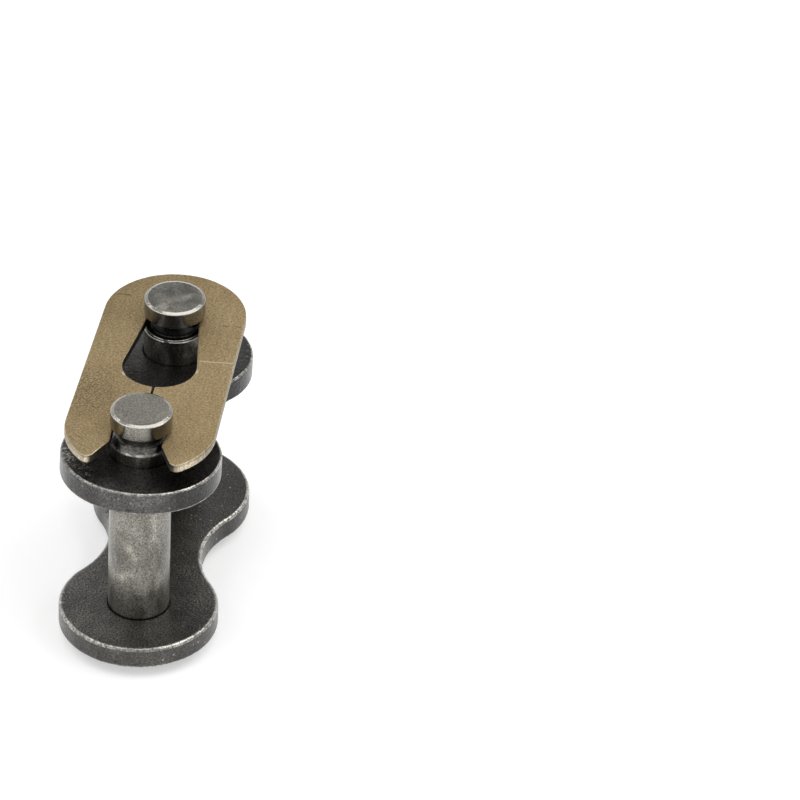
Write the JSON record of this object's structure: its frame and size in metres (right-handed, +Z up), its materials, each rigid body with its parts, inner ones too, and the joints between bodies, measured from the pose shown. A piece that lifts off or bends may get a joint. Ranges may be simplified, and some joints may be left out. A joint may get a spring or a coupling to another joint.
{
  "type": "chain connecting link",
  "caption": "Roller chain connecting link: grooved pins riveted in a figure-eight plate, a loose cover plate on the pins, and a flat keyhole spring clip in their grooves.",
  "frame": {"origin": "on the surface that the link stands on, under its two rivet ends, midway between the pins", "axes": "+Z up along the pins towards the clip, +X from the pin in the clip's mouth to the pin in its keyhole, Y across the plates"},
  "size_m": [0.046, 0.0206, 0.035],
  "materials": {
    "shot_blasted_plate": "quenched carbon steel, shot-blasted and oiled, dark grey with worn rims",
    "ground_pin": "case-hardened alloy steel, ground and tumbled, satin grey",
    "tempered_clip": "spring steel, tempered to a matt straw bronze"
  },
  "bodies": {
    "pin_link": {"pin_link_plate": "shot_blasted_plate", "mouth_pin": "ground_pin", "keyhole_pin": "ground_pin"},
    "cover": {"cover_plate": "shot_blasted_plate"},
    "clip": {"spring_clip": "tempered_clip"}
  },
  "joints": [
    {"name": "cover_slide", "type": "slide", "parent": "pin_link", "child": "cover", "axis": [0, 0, 1], "range_m": [-0.01816, 0.00142]},
    {"name": "clip_slide", "type": "slide", "parent": "pin_link", "child": "clip", "axis": [1, 0, 0], "range_m": [0, 0.01145]}
  ]
}
